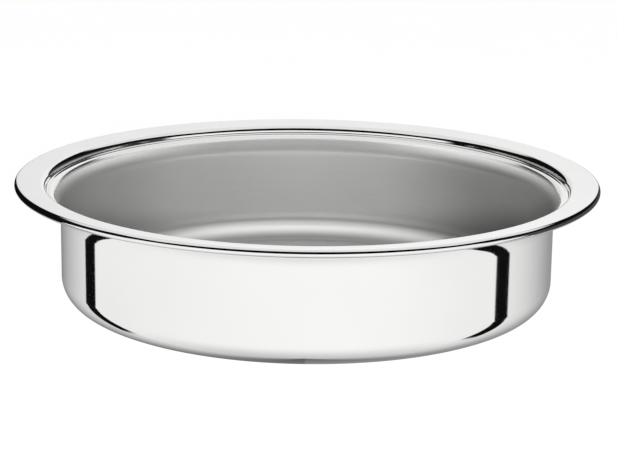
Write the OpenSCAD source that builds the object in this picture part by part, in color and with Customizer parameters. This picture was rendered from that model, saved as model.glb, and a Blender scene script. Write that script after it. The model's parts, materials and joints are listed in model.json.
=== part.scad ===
// Round drop-in food pan for a chafing dish: one deep-drawn steel sheet with a lid seat,
// a wide flange and a rolled rim, and the stiffening wire that the rim is rolled round.
// The origin is the centre of the underside. +Z is the pan's axis, towards its mouth.

/* [Pan body] */
// Overall height, from the underside to the top of the rolled rim
pan_h = 83.7; // [60:0.1:120]
// Thickness of the drawn sheet
sheet_t = 0.8; // [0.6:0.1:1]
// Outside diameter of the straight wall
wall_d = 330; // [300:0.5:334]
// Outside radius of the corner between the wall and the bottom
corner_r = 18.2; // [8:0.1:30]

/* [Shoulder] */
// Radius of the bend where the wall starts to lean outwards, at mid-sheet
neck_r = 24; // [8:0.5:28]
// Lean of the wall below the lid seat, in degrees from upright
neck_lean = 22; // [16:1:30]
// Radius of the rounded shoulder under the lid seat, at mid-sheet
shoulder_r = 5.6; // [4:0.1:6.5]
// How far the wall runs outwards from its straight part to the lid seat
ledge_w = 8.1; // [7.5:0.1:10]

/* [Lid seat] */
// Width of the level ring at the foot of the step
seat_w = 0.5; // [0.2:0.1:2]
// Radius of the bend at the foot of the step, at mid-sheet
foot_bend_r = 1.6; // [0.8:0.1:2]
// Radius of the bend at the top of the step, at mid-sheet
top_bend_r = 3.5; // [0.8:0.1:4]
// Depth of the lid seat below the inner edge of the flange
step_h = 5.6; // [5:0.1:9]
// Lean of the step's face from upright, in degrees
step_lean = 8; // [2:1:20]

/* [Rim] */
// Outside diameter over the rolled rim
rim_d = 390; // [380:1:420]
// Rise of the flange towards the rim, in degrees
flange_rise = 6.5; // [0:0.5:8]
// Thickness of the rolled rim
bead_d = 5; // [4:0.1:6]
// How far the sheet is rolled round the wire, in degrees
bead_wrap = 260; // [180:5:275]
// Gap all round between the wire and the sheet rolled round it
wire_play = 0.05; // [0.05:0.01:0.1]
// Gap between the two ends of the wire
wire_gap = 3; // [1:0.5:10]

/* [Hidden] */
// Steps in one full turn of the revolved shapes
turn_steps = 180;
// Largest angle between two points on a bend, in degrees
bend_step = 10;

half_t = sheet_t / 2;
wall_mid = wall_d / 2 - half_t;
corner_mid = corner_r - half_t;
bead_mid = (bead_d - sheet_t) / 2;
bead_x = (rim_d - bead_d) / 2;
bead_z = pan_h - bead_d / 2;
wire_r = bead_d / 2 - sheet_t - wire_play;

// Direction of the neck, of the step's face and of the flange, as the sheet runs outwards
neck_a = 90 - neck_lean;
face_a = 90 - step_lean;
flange_a = flange_rise;
// Straight length of the step's face, between its two bends
face_l = (step_h - foot_bend_r * (1 - cos(face_a)) - top_bend_r * (cos(flange_a) - cos(face_a))) / sin(face_a);

// Centres of the bends at the foot and at the top of the step
foot_x = wall_mid + ledge_w + seat_w;
top_x = foot_x + (foot_bend_r + top_bend_r) * sin(face_a) + face_l * cos(face_a);
flange_run = bead_x - top_x - (bead_mid - top_bend_r) * sin(flange_a);
top_z = bead_z + (bead_mid - top_bend_r) * cos(flange_a) - flange_run * tan(flange_a);
seat_z = top_z + top_bend_r * cos(flange_a) - step_h;

// Straight length of the neck, between its two bends, and height of its lower bend's centre
neck_l = (ledge_w - neck_r * (1 - sin(neck_a)) - shoulder_r * sin(neck_a)) / cos(neck_a);
neck_z = seat_z - shoulder_r * (1 - cos(neck_a)) - neck_l * sin(neck_a) - neck_r * cos(neck_a);

// The bends of the sheet, from the bottom outwards. Each is [centre x, centre z, mid-sheet
// radius, direction of the sheet into the bend, direction out of it], and the sheet runs
// straight from one bend to the next. Directions are in degrees above outwards.
BENDS = [
    [wall_mid - corner_mid, corner_r, corner_mid, 0, 90],
    [wall_mid + neck_r, neck_z, neck_r, 90, neck_a],
    [wall_mid + ledge_w, seat_z - shoulder_r, shoulder_r, neck_a, 0],
    [foot_x, seat_z + foot_bend_r, foot_bend_r, 0, face_a],
    [top_x, top_z, top_bend_r, face_a, flange_a],
    [bead_x, bead_z, bead_mid, flange_a, flange_a - bead_wrap]
];

// Points along one face of a bend. Side is 1 for the outer face and -1 for the inner one.
function bend_face(b, side) =
    let (way = sign(b[4] - b[3]),
         steps = ceil(abs(b[4] - b[3]) / bend_step),
         r = way * b[2] + side * half_t)
    [for (i = [0:steps]) let (a = b[3] + (b[4] - b[3]) * i / steps) [b[0] + r * sin(a), b[1] - r * cos(a)]];

// Points along one whole face of the sheet, from the axis to the end of the roll
function sheet_face(side) = [
    [0, half_t - side * half_t],
    for (b = BENDS) each bend_face(b, side)
];

function reversed(points) = [for (i = [len(points) - 1:-1:0]) points[i]];

// The pan: bottom, wall, shoulder, lid seat, flange and rolled rim in one drawn sheet
module pan_shell() {
    color("gainsboro")
    rotate_extrude($fn = turn_steps)
    polygon(concat(sheet_face(1), reversed(sheet_face(-1))));
}

// The wire inside the rolled rim, with its two ends butted at the back of the pan
module rim_wire() {
    gap_a = wire_gap / bead_x * 180 / PI;
    color("silver")
    rotate([0, 0, 90 + gap_a / 2])
    rotate_extrude(angle = 360 - gap_a, start = 0, $fn = turn_steps)
    translate([bead_x, bead_z])
    circle(r = wire_r, $fn = 24);
}

pan_shell();
rim_wire();
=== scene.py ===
"""Looks of the round drop-in food pan: polished outside, brushed inside, on a white studio floor."""
import json
import math
from collections import namedtuple

import bmesh
import bpy
from mathutils import Matrix, Vector


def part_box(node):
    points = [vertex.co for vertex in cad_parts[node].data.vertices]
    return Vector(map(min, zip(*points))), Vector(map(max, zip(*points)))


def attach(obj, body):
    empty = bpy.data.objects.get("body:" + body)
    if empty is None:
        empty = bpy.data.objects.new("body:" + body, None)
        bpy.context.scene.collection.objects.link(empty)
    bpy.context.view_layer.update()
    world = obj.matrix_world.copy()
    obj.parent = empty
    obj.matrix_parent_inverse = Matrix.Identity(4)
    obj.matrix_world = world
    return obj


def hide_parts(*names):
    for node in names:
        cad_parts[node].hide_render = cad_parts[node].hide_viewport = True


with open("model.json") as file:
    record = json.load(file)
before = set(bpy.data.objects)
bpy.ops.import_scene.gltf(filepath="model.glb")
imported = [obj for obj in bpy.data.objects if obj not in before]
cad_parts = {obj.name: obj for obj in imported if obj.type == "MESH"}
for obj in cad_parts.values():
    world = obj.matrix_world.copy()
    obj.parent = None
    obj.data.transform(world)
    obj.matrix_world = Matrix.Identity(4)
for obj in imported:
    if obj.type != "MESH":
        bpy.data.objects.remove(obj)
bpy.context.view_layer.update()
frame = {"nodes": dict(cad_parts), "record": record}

MM = 0.001
SHELL_HIGH = Vector(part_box("pan_shell")[1])
MOUNTS = {mount["name"]: mount for mount in frame["record"]["mounts"]}

# Sizes that the frame gives, in metres.
RIM_R = SHELL_HIGH.x
PAN_H = SHELL_HIGH.z
WALL_R = MOUNTS["drop_in_wall"]["dims"]["r_mm"] * MM

# Sizes of the drawn sheet, in metres. Bend radii are at mid-sheet.
SHEET = 0.8 * MM
HALF_SHEET = SHEET / 2
CORNER_R = 17.8 * MM
NECK_R = 24.0 * MM
SHOULDER_R = 5.6 * MM
LEDGE_W = 8.1 * MM
SEAT_W = 0.5 * MM
FOOT_BEND_R = 1.6 * MM
TOP_BEND_R = 3.5 * MM
STEP_H = 5.6 * MM
BEAD_R = 2.1 * MM
WALL_MID = WALL_R - HALF_SHEET
SHOULDER_X = WALL_MID + LEDGE_W

# Directions of the neck, the step's face and the flange above outwards, and the turn of the roll.
NECK_A = math.radians(68)
FACE_A = math.radians(82)
FLANGE_A = math.radians(6.5)
BEAD_WRAP = math.radians(260)

# Fineness of the lathed mesh.
TURN_STEPS = 384
BEND_STEP = math.radians(7)
LONGEST_FACE = 10 * MM
EDGE_LOOP_GAP = 0.12 * MM
ON_AXIS = 1e-9


# ---------------------------------------------------------------- profile of the sheet

def sheet_bends():
    """The bends from the bottom outwards: centre x and z, radius, direction before and after."""
    rise = TOP_BEND_R * (math.cos(FLANGE_A) - math.cos(FACE_A))
    face_l = (STEP_H - FOOT_BEND_R * (1 - math.cos(FACE_A)) - rise) / math.sin(FACE_A)
    bead_x = RIM_R - BEAD_R - HALF_SHEET
    bead_z = PAN_H - BEAD_R - HALF_SHEET
    foot_x = SHOULDER_X + SEAT_W
    top_x = foot_x + (FOOT_BEND_R + TOP_BEND_R) * math.sin(FACE_A) + face_l * math.cos(FACE_A)
    run = bead_x - top_x - (BEAD_R - TOP_BEND_R) * math.sin(FLANGE_A)
    top_z = bead_z + (BEAD_R - TOP_BEND_R) * math.cos(FLANGE_A) - run * math.tan(FLANGE_A)
    seat_z = top_z + TOP_BEND_R * math.cos(FLANGE_A) - STEP_H
    neck_run = LEDGE_W - NECK_R * (1 - math.sin(NECK_A)) - SHOULDER_R * math.sin(NECK_A)
    neck_rise = (NECK_R - SHOULDER_R) * math.cos(NECK_A) + neck_run * math.tan(NECK_A)
    return [
        (WALL_MID - CORNER_R, CORNER_R + HALF_SHEET, CORNER_R, 0, math.pi / 2),
        (WALL_MID + NECK_R, seat_z - SHOULDER_R - neck_rise, NECK_R, math.pi / 2, NECK_A),
        (SHOULDER_X, seat_z - SHOULDER_R, SHOULDER_R, NECK_A, 0),
        (foot_x, seat_z + FOOT_BEND_R, FOOT_BEND_R, 0, FACE_A),
        (top_x, top_z, TOP_BEND_R, FACE_A, FLANGE_A),
        (bead_x, bead_z, BEAD_R, FLANGE_A, FLANGE_A - BEAD_WRAP),
    ]


# Height of the shoulder's centre.
SHOULDER_Z = sheet_bends()[2][1]


def bend_points(bend, side):
    """Points along one face of a bend. Side is 1 outside and -1 inside."""
    x, z, radius, first, last = bend
    turn = last - first
    r = math.copysign(radius, turn) + side * HALF_SHEET
    steps = math.ceil(abs(turn) / BEND_STEP)
    angles = [first + turn * i / steps for i in range(steps + 1)]
    return [Vector((x + r * math.sin(a), z - r * math.cos(a))) for a in angles]


def straight_points(start, end):
    """Points strictly between two bends, with one close to each end so that shading stays crisp."""
    run = end - start
    if run.length < 3 * EDGE_LOOP_GAP:
        return []
    near = run.normalized() * EDGE_LOOP_GAP
    steps = max(1, math.ceil(run.length / LONGEST_FACE))
    inner = [start + run * (i / steps) for i in range(1, steps)]
    return [start + near, *inner, end - near]


def sheet_face(side):
    """Points (radius, height) along one face of the sheet. Side is 1 outside and -1 inside."""
    points = [Vector((0, HALF_SHEET * (1 - side)))]
    for bend in sheet_bends():
        arc = bend_points(bend, side)
        points += straight_points(points[-1], arc[0]) + arc
    return points


# ---------------------------------------------------------------- mesh

def turned_ring(mesh, point):
    """One turn of a point round the axis, or a single vertex where it lies on the axis."""
    if point.x < ON_AXIS:
        return [mesh.verts.new((0, 0, point.y))]
    turns = (2 * math.pi * i / TURN_STEPS for i in range(TURN_STEPS))
    return [mesh.verts.new((point.x * math.cos(a), point.x * math.sin(a), point.y)) for a in turns]


def lathe(name, outer, inner, slot_of_inner):
    """Closed shell of revolution: the outer face, the cut edge of the roll, and the inner face back."""
    mesh = bmesh.new()
    outline = outer + inner[::-1]
    rings = [turned_ring(mesh, point) for point in outline]
    for index, (low, high) in enumerate(zip(rings, rings[1:])):
        slot = 0 if index < len(outer) else slot_of_inner(outline[index])
        for i in range(TURN_STEPS):
            j = (i + 1) % TURN_STEPS
            corners = [low[i % len(low)], low[j % len(low)], high[j % len(high)], high[i % len(high)]]
            face = mesh.faces.new(list(dict.fromkeys(corners)))
            face.smooth = True
            face.material_index = slot
    bmesh.ops.recalc_face_normals(mesh, faces=mesh.faces)
    data = bpy.data.meshes.new(name)
    mesh.to_mesh(data)
    mesh.free()
    piece = bpy.data.objects.new(name, data)
    bpy.context.collection.objects.link(piece)
    return piece


# ---------------------------------------------------------------- node helpers

class Nodes:
    """Short calls for building one node tree."""

    def __init__(self, tree):
        self.tree = tree
        tree.nodes.clear()

    def add(self, kind, **settings):
        node = self.tree.nodes.new(kind)
        for key, value in settings.items():
            setattr(node, key, value)
        return node

    def feed(self, socket, value):
        """Link a socket to another, or set its value. None leaves it as it is."""
        if isinstance(value, bpy.types.NodeSocket):
            self.tree.links.new(value, socket)
        elif value is not None:
            socket.default_value = value

    def math(self, operation, *values):
        node = self.add("ShaderNodeMath", operation=operation)
        for socket, value in zip(node.inputs, values):
            self.feed(socket, value)
        return node.outputs[0]

    def multiply(self, a, b):
        return self.math("MULTIPLY", a, b)

    def ramp(self, value, low, high, out_low=0.0, out_high=1.0):
        """Smooth step of a value from low..high to out_low..out_high."""
        node = self.add("ShaderNodeMapRange", interpolation_type="SMOOTHSTEP")
        for socket, given in zip(node.inputs, (value, low, high, out_low, out_high)):
            self.feed(socket, given)
        return node.outputs[0]

    def mix(self, factor, a, b):
        """Value a where factor is 0, b where it is 1."""
        node = self.add("ShaderNodeMix", data_type="FLOAT")
        for socket, value in zip((node.inputs[0], node.inputs[2], node.inputs[3]), (factor, a, b)):
            self.feed(socket, value)
        return node.outputs[0]

    def inside(self, value, low, high, soft):
        """1 where a value is between low and high, 0 elsewhere, with soft edges."""
        rising = self.ramp(value, low - soft / 2, low + soft / 2)
        falling = self.ramp(value, high - soft / 2, high + soft / 2, 1, 0)
        return self.multiply(rising, falling)

    def noise(self, vector, scale, detail=2.0, roughness=0.5):
        node = self.add("ShaderNodeTexNoise")
        self.feed(node.inputs["Vector"], vector)
        node.inputs["Scale"].default_value = scale
        node.inputs["Detail"].default_value = detail
        node.inputs["Roughness"].default_value = roughness
        return node.outputs[0]

    def combine(self, x, y, z):
        node = self.add("ShaderNodeCombineXYZ")
        for socket, value in zip(node.inputs, (x, y, z)):
            self.feed(socket, value)
        return node.outputs[0]

    def coordinates(self, kind):
        """The x, y and z of one kind of texture coordinate."""
        node = self.add("ShaderNodeSeparateXYZ")
        self.feed(node.inputs[0], self.add("ShaderNodeTexCoord").outputs[kind])
        return node.outputs

    def grey(self, value, blue=1.0):
        """Grey of the given value, with its blue scaled."""
        return self.combine(value, value, self.multiply(value, blue))


def new_material(name):
    material = bpy.data.materials.new(name)
    material.use_nodes = True
    return material, Nodes(material.node_tree)


# ---------------------------------------------------------------- steel

# The middle range of a noise, which is spread over a look's own range.
NOISE_RANGE = (0.3, 0.7)

# Looks of each finish. A pair is the least and the most.
POLISHED_SHADE = (0.775, 0.80)
POLISHED_ROUGHNESS = (0.035, 0.06)
POLISHED_BUMP = 0.001 * MM
SHOULDER_SHADE = 0.78
SHOULDER_ROUGHNESS = 0.06
BRUSHED_SHADE = (0.77, 0.81)
BRUSHED_ROUGHNESS = (0.28, 0.34)
BRUSHED_BUMP = 0.0007 * MM
BRUSHED_ANISOTROPY = 0.7
WIRE_SHADE = (0.55, 0.64)
WIRE_ROUGHNESS = (0.2, 0.34)
WIRE_BUMP = 0.003 * MM

# Zones of the pan's inside, each from the height where it begins to fade in to where it is full.
BRUSHED_ZONE = (SHOULDER_Z + 5.4 * MM, SHOULDER_Z + 2.6 * MM)
NECK_ZONE = (SHOULDER_Z - 5.5 * MM, SHOULDER_Z + 3.5 * MM)
FILLET_ZONE = (CORNER_R * 0.74, CORNER_R * 0.54)
BOTTOM_ZONE = (CORNER_R * 0.4, CORNER_R * 0.05)

# Part of the brushed steel's light that stays mirror-like. The rest scatters from its scratches.
WALL_METALLIC = 0.65
FILLET_METALLIC = 0.35
BOTTOM_METALLIC = 0.9

# How the painted shade and painted light in the inside's colour, and the metallic part, change from the
# pan's middle towards its left and right ends: the wall is painted darker towards its ends and the neck
# lighter.
# Each is (offset where it starts, offset where it ends, value there, value at the end), and offsets
# are parts of the radius, from ENDS_MIDDLE, which lies a little to the left.
ENDS_MIDDLE = -0.09
# Painted shade: the wall's colour darkens towards its left and right ends.
WALL_ENDS_PAINTED_SHADE = (0.42, 1.0, 1.02, 0.52)
# Painted light: the neck's colour is lighter towards its ends, spreading the shoulder's highlight down the
# sides.
NECK_ENDS_PAINTED_LIGHT = (0.25, 0.85, 0.90, 1.19)
NECK_METALLIC = (0.25, 0.85, 0.5, 0.15)
# Painted highlight: the colour of the fillet at the bottom's corner is made lighter.
FILLET_PAINTED_HIGHLIGHT = 1.18
# Painted shade: the colour of the pan's bottom is made darker.
BOTTOM_PAINTED_SHADE = 0.37

Place = namedtuple("Place", "x y z radius cos sin")


def metal_shader(nodes, base, roughness, normal, anisotropy=0.0, metallic=1.0):
    shader = nodes.add("ShaderNodeBsdfPrincipled")
    nodes.feed(shader.inputs["Metallic"], metallic)
    nodes.feed(shader.inputs["Base Color"], base)
    nodes.feed(shader.inputs["Roughness"], roughness)
    nodes.feed(shader.inputs["Normal"], normal)
    if anisotropy:
        shader.inputs["Anisotropic"].default_value = anisotropy
        tangent = nodes.add("ShaderNodeTangent", direction_type="RADIAL", axis="Z")
        nodes.feed(shader.inputs["Tangent"], tangent.outputs[0])
    out = nodes.add("ShaderNodeOutputMaterial")
    nodes.feed(out.inputs["Surface"], shader.outputs[0])


def bump(nodes, height, distance):
    node = nodes.add("ShaderNodeBump")
    node.inputs["Strength"].default_value = 1.0
    node.inputs["Distance"].default_value = distance
    nodes.feed(node.inputs["Height"], height)
    return node.outputs[0]


def place_on_pan(nodes):
    """Where a point of the surface is, with the cosine and the sine of its turn round the axis."""
    x, y, z = nodes.coordinates("Object")
    radius = nodes.math("SQRT", nodes.math("ADD", nodes.multiply(x, x), nodes.multiply(y, y)))
    safe = nodes.math("MAXIMUM", radius, 1 * MM)
    return Place(x, y, z, radius, nodes.math("DIVIDE", x, safe), nodes.math("DIVIDE", y, safe))


def circular_grain(nodes, place, around, across):
    """Vector for noise that is long round the axis and fine across it."""
    along = nodes.multiply(nodes.math("ADD", place.radius, place.z), across)
    return nodes.combine(nodes.multiply(place.cos, around), nodes.multiply(place.sin, around), along)


def polished_steel():
    """Mirror-polished sheet: faint handling smears in the gloss and the finest circular polishing lines."""
    material, nodes = new_material("polished_steel")
    place = place_on_pan(nodes)
    smear = nodes.noise(nodes.combine(place.x, place.y, place.z), scale=14, detail=3)
    lines = nodes.noise(circular_grain(nodes, place, around=3, across=900), 1, 3, 0.7)
    base = nodes.grey(nodes.ramp(smear, *NOISE_RANGE, *POLISHED_SHADE), blue=0.992)
    smeared = nodes.ramp(smear, 0.35, 0.75, *POLISHED_ROUGHNESS)
    roughness = nodes.math("ADD", smeared, nodes.ramp(lines, 0.4, 0.8, 0, 0.02))
    metal_shader(nodes, base, roughness, bump(nodes, lines, POLISHED_BUMP))
    return material


def brushed_colour_with_painted_light(nodes, place, grain, ends, zones):
    """Colour of the inside: its grain, with painted shade darker towards the ends of the wall and on the
    bottom, and painted light in the neck, most towards its ends, and in the fillet.
    """
    brushed, neck, fillet, bottom = zones
    cloud = nodes.noise(nodes.combine(place.x, place.y, place.z), scale=22)
    grained = nodes.ramp(grain, *NOISE_RANGE, *BRUSHED_SHADE)
    shade = nodes.math("ADD", grained, nodes.ramp(cloud, *NOISE_RANGE, -0.01, 0.01))
    # Painted shade and painted light: darker wall ends, lighter neck ends, a lighter fillet and a darker
    # bottom.
    painted_light_and_shade = nodes.mix(neck, nodes.ramp(ends, *WALL_ENDS_PAINTED_SHADE), nodes.ramp(ends, *NECK_ENDS_PAINTED_LIGHT))
    shade = nodes.multiply(shade, nodes.mix(fillet, painted_light_and_shade, FILLET_PAINTED_HIGHLIGHT))
    sides = nodes.mix(brushed, SHOULDER_SHADE, shade)
    return nodes.mix(bottom, sides, nodes.multiply(shade, BOTTOM_PAINTED_SHADE))


def brushed_metallic(nodes, ends, zones):
    """How much of the inside's light stays mirror-like."""
    brushed, neck, fillet, bottom = zones
    metallic = nodes.mix(neck, WALL_METALLIC, nodes.ramp(ends, *NECK_METALLIC))
    metallic = nodes.mix(fillet, metallic, FILLET_METALLIC)
    return nodes.mix(brushed, 1.0, nodes.mix(bottom, metallic, BOTTOM_METALLIC))


def brushed_steel():
    """Fine circular brushing on the wall and the bottom, which turns to polish on the shoulder."""
    material, nodes = new_material("brushed_steel")
    place = place_on_pan(nodes)
    coarse = nodes.noise(circular_grain(nodes, place, around=5, across=700), 1, 4, 0.65)
    fine = nodes.noise(circular_grain(nodes, place, around=14, across=3200), 1, 3, 0.6)
    grain = nodes.mix(0.5, coarse, fine)
    ends = nodes.math("ABSOLUTE", nodes.math("SUBTRACT", place.cos, ENDS_MIDDLE))
    zones = [nodes.ramp(place.z, *zone) for zone in (BRUSHED_ZONE, NECK_ZONE, FILLET_ZONE, BOTTOM_ZONE)]
    brushed = zones[0]
    # The base colour holds painted shade and painted light as well as the grain.
    base = nodes.grey(brushed_colour_with_painted_light(nodes, place, grain, ends, zones), blue=0.988)
    scratched = nodes.ramp(grain, *NOISE_RANGE, *BRUSHED_ROUGHNESS)
    roughness = nodes.mix(brushed, SHOULDER_ROUGHNESS, scratched)
    scratches = bump(nodes, nodes.multiply(grain, brushed), BRUSHED_BUMP)
    metallic = brushed_metallic(nodes, ends, zones)
    metal_shader(nodes, base, roughness, scratches, BRUSHED_ANISOTROPY, metallic)
    return material


def wire_steel():
    """Drawn wire, duller than the sheet, with lines along its length."""
    material, nodes = new_material("drawn_wire")
    lines = nodes.noise(circular_grain(nodes, place_on_pan(nodes), around=4, across=4000), 1, 3)
    base = nodes.grey(nodes.ramp(lines, *NOISE_RANGE, *WIRE_SHADE), blue=0.985)
    roughness = nodes.ramp(lines, *NOISE_RANGE, *WIRE_ROUGHNESS)
    metal_shader(nodes, base, roughness, bump(nodes, lines, WIRE_BUMP))
    return material


# ---------------------------------------------------------------- pieces

def make_pan():
    pan = lathe("pan_sheet", sheet_face(1), sheet_face(-1), lambda point: 1 if point.x < SHOULDER_X else 0)
    pan.data.materials.append(polished_steel())
    pan.data.materials.append(brushed_steel())
    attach(pan, "root")
    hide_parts("pan_shell")


def dress_wire():
    """The wire keeps its CAD shape and gets its own steel."""
    for wire_slot in frame["nodes"]["rim_wire"].material_slots:
        wire_slot.material = wire_steel()


# ---------------------------------------------------------------- camera and floor

CAMERA_DISTANCE = 1.363
CAMERA_ELEVATION = math.radians(12.905)
CAMERA_ROLL = math.radians(-0.779)
CAMERA_AIM = Vector((0.0011, 0, 0.0450))
FOCAL_IN_FRAME_WIDTHS = 3.29
SENSOR_W = 36.0

FLOOR_HALF_W = 6.0
FLOOR_GLOW = 0.93


def make_camera():
    """Camera in front of the pan, placed from the centre of the rim."""
    rim = Vector((0, 0, PAN_H))
    towards = Vector((0, -math.cos(CAMERA_ELEVATION), math.sin(CAMERA_ELEVATION)))
    place = rim + CAMERA_DISTANCE * towards
    forward = (CAMERA_AIM - place).normalized()
    right = forward.cross(Vector((0, 0, 1))).normalized()
    up = right.cross(forward)
    turn = Matrix((right, up, -forward)).transposed().to_4x4() @ Matrix.Rotation(-CAMERA_ROLL, 4, "Z")
    data = bpy.data.cameras.new("camera")
    data.sensor_width = SENSOR_W
    data.lens = SENSOR_W * FOCAL_IN_FRAME_WIDTHS
    data.clip_start = 0.05
    camera = bpy.data.objects.new("camera", data)
    camera.matrix_world = Matrix.Translation(place) @ turn
    bpy.context.collection.objects.link(camera)
    bpy.context.scene.camera = camera


def flat_object(name, corners, faces):
    data = bpy.data.meshes.new(name)
    data.from_pydata(corners, [], faces)
    flat = bpy.data.objects.new(name, data)
    bpy.context.collection.objects.link(flat)
    return flat


def make_floor():
    """White floor that glows, so that it stays white under the pan. The steel doesn't reflect it."""
    w = FLOOR_HALF_W
    floor = flat_object("floor", [(-w, -w, 0), (w, -w, 0), (w, w, 0), (-w, w, 0)], [(0, 1, 2, 3)])
    material, nodes = new_material("pale_floor")
    shader = nodes.add("ShaderNodeBsdfPrincipled")
    shader.inputs["Roughness"].default_value = 0.9
    shader.inputs["Specular IOR Level"].default_value = 0.0
    mottle = nodes.noise(nodes.combine(*nodes.coordinates("Object")), scale=9, detail=3)
    nodes.feed(shader.inputs["Base Color"], nodes.grey(nodes.ramp(mottle, *NOISE_RANGE, 0.14, 0.15)))
    shader.inputs["Emission Color"].default_value = (1, 1, 1, 1)
    shader.inputs["Emission Strength"].default_value = FLOOR_GLOW
    out = nodes.add("ShaderNodeOutputMaterial")
    nodes.feed(out.inputs["Surface"], shader.outputs[0])
    floor.data.materials.append(material)
    floor.visible_glossy = False


# ---------------------------------------------------------------- surround

# What the steel sees round it. Azimuths are in degrees, 0 towards the camera and 90 to the right of it.
# Elevations are in degrees above the horizon. 1 is white.
BLACK = 0.005
OVERHEAD = 0.92
UPPER_CARD = 1.15
CARD_LEFT, CARD_RIGHT = -113.5, 96.7
FLAG_LEFT, FLAG_RIGHT = -122.8, 106.4
CARD_SOFTNESS = 0.5
BACKDROP_EDGE = (161.5, 163)

# Gradients: from and to in degrees, then the value at each where it isn't 0 and 1. FLAG_SPREAD is how
# much further out the flags end below the horizon, and DARK_TOP is where the dark ends above it.
TABLE_LEFT = (-176, -110, 0.22, 0.93)
TABLE_RIGHT = (100, 164, 0.98, 0.33)
TABLE_FOOT = (-88, -35, 0.62, 1)
LOWER_CARD = (20, 105, 1.16, 1.05)
FLAG_SPREAD = (-16, -42, 1, 1.045)
FLAG_FOOT = (-47, -42)
HORIZON = (-3.5, -1.5)
UPPER_CARD_EDGE = (64, 72)
UPPER_CARD_TOP = (4.5, 6.5)
DARK_RIGHT = (6, 12, 0.07, BLACK)
DARK_TOP = (85, 112, 68, 33)
OVERHEAD_EDGE = (0, 5)
SIDE_CHANGE = (-1, 1)
# The backdrop's gradient runs with the x of the direction.
BACKDROP = (-0.16, 0.02, 0.88, 1.02)


def lower_surround(nodes, azimuth, elevation, sideways):
    """The table with the white card in front and a narrow black flag at each of its ends."""
    left, right = nodes.ramp(azimuth, *TABLE_LEFT), nodes.ramp(azimuth, *TABLE_RIGHT)
    table = nodes.mix(nodes.ramp(azimuth, *SIDE_CHANGE), left, right)
    front = nodes.inside(azimuth, CARD_LEFT, CARD_RIGHT, CARD_SOFTNESS)
    table = nodes.mix(front, table, nodes.ramp(sideways, *LOWER_CARD))
    spread = nodes.ramp(elevation, *FLAG_SPREAD)
    flags = nodes.inside(nodes.math("DIVIDE", azimuth, spread), FLAG_LEFT, FLAG_RIGHT, CARD_SOFTNESS)
    flags = nodes.multiply(flags, nodes.math("SUBTRACT", 1, front))
    flags = nodes.multiply(flags, nodes.ramp(elevation, *FLAG_FOOT))
    return nodes.multiply(nodes.mix(flags, table, BLACK), nodes.ramp(elevation, *TABLE_FOOT))


def upper_surround(nodes, x, azimuth, elevation, sideways):
    """The low white card straight ahead, dark round it, light overhead and the backdrop behind."""
    dark = nodes.mix(nodes.ramp(azimuth, *SIDE_CHANGE), BLACK, nodes.ramp(elevation, *DARK_RIGHT))
    past_edge = nodes.ramp(sideways, *UPPER_CARD_EDGE)
    past_top = nodes.ramp(elevation, *UPPER_CARD_TOP)
    upper = nodes.mix(nodes.math("MAXIMUM", past_edge, past_top), UPPER_CARD, dark)
    over = nodes.math("SUBTRACT", elevation, nodes.ramp(sideways, *DARK_TOP))
    upper = nodes.mix(nodes.ramp(over, *OVERHEAD_EDGE), upper, OVERHEAD)
    return nodes.mix(nodes.ramp(sideways, *BACKDROP_EDGE), upper, nodes.ramp(x, *BACKDROP))


def make_world():
    world = bpy.data.worlds.new("studio")
    world.use_nodes = True
    bpy.context.scene.world = world
    nodes = Nodes(world.node_tree)
    x, y, z = nodes.coordinates("Generated")
    degrees = math.degrees(1)
    azimuth = nodes.multiply(nodes.math("ARCTAN2", x, nodes.multiply(y, -1)), degrees)
    elevation = nodes.multiply(nodes.math("ARCSINE", z), degrees)
    sideways = nodes.math("ABSOLUTE", azimuth)
    lower = lower_surround(nodes, azimuth, elevation, sideways)
    upper = upper_surround(nodes, x, azimuth, elevation, sideways)
    level = nodes.mix(nodes.ramp(elevation, *HORIZON), lower, upper)
    background = nodes.add("ShaderNodeBackground")
    nodes.feed(background.inputs["Color"], nodes.grey(level))
    background.inputs["Strength"].default_value = 1.0
    out = nodes.add("ShaderNodeOutputWorld")
    nodes.feed(out.inputs["Surface"], background.outputs[0])


# ---------------------------------------------------------------- cards and light near the pan

# The trays stand just outside the rim, from this far below its top up to it.
TRAY_DROP = 9 * MM
TRAY_GAP = 1.5 * MM
TRAY_REACH = 55 * MM
TRAY_STEPS = 40
# First and last azimuth, and brightness.
LEFT_TRAY = (-54, -165, BLACK)
RIGHT_TRAY = (47, 165, 0.075)

SOFTBOX_HALF_W = 0.95
SOFTBOX_FRONT, SOFTBOX_BACK = -0.50, 0.42
SOFTBOX_Z = 0.95
SOFTBOX_LEVEL = 0.95

FRONT_LIGHT_PLACE = Vector((0.12, -1.7, 0.46))
FRONT_LIGHT_TARGET = Vector((0, 0.1, 0.05))
FRONT_LIGHT_SIZE = 0.2
FRONT_LIGHT_POWER = 38


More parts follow.
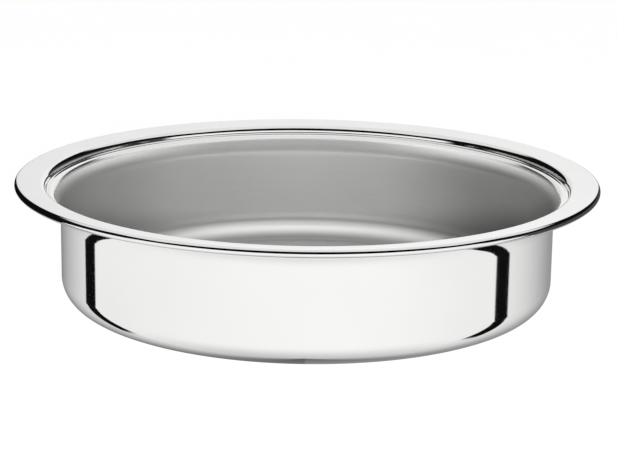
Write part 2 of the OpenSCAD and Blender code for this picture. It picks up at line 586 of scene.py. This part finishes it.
def add_card(name, corners, faces, value):
    """A glowing or black card that only reflections show."""
    card = flat_object(name, corners, faces)
    material, nodes = new_material(name)
    glow = nodes.add("ShaderNodeEmission")
    nodes.feed(glow.inputs["Color"], (value, value, value, 1))
    out = nodes.add("ShaderNodeOutputMaterial")
    nodes.feed(out.inputs["Surface"], glow.outputs[0])
    card.data.materials.append(material)
    card.visible_camera = False
    card.visible_shadow = False
    card.visible_diffuse = False


def add_tray(name, first, last, value):
    """A tray round part of the rim, between two azimuths in degrees, which the polished lip reflects."""
    low = Vector((0, 0, PAN_H - TRAY_DROP))
    top = Vector((0, 0, PAN_H))
    corners, faces = [], []
    for i in range(TRAY_STEPS + 1):
        turn = math.radians(first + (last - first) * i / TRAY_STEPS)
        out = Vector((math.sin(turn), -math.cos(turn), 0))
        inner, outer = out * (RIM_R + TRAY_GAP), out * (RIM_R + TRAY_REACH)
        corners += [inner + low, outer + low, outer + top]
    for k in range(0, 3 * TRAY_STEPS, 3):
        faces += [(k, k + 3, k + 4, k + 1), (k + 1, k + 4, k + 5, k + 2)]
    add_card(name, corners, faces, value)


def add_softbox():
    """The light above the pan, seen in the shoulder and in the corner of the bottom."""
    w, front, back, z = SOFTBOX_HALF_W, SOFTBOX_FRONT, SOFTBOX_BACK, SOFTBOX_Z
    corners = [(-w, front, z), (w, front, z), (w, back, z), (-w, back, z)]
    add_card("softbox", corners, [(0, 1, 2, 3)], SOFTBOX_LEVEL)


def add_front_light():
    """Low light from the camera's side, which lights the brushed inside."""
    data = bpy.data.lights.new("front_light", "AREA")
    data.shape = "DISK"
    data.size = FRONT_LIGHT_SIZE
    data.energy = FRONT_LIGHT_POWER
    light = bpy.data.objects.new("front_light", data)
    light.location = FRONT_LIGHT_PLACE
    light.rotation_euler = (FRONT_LIGHT_TARGET - FRONT_LIGHT_PLACE).to_track_quat("-Z", "Y").to_euler()
    light.visible_glossy = False
    bpy.context.collection.objects.link(light)


make_camera()
make_pan()
dress_wire()
make_floor()
make_world()
add_tray("left_tray", *LEFT_TRAY)
add_tray("right_tray", *RIGHT_TRAY)
add_softbox()
add_front_light()
bpy.context.scene.view_settings.view_transform = "Standard"
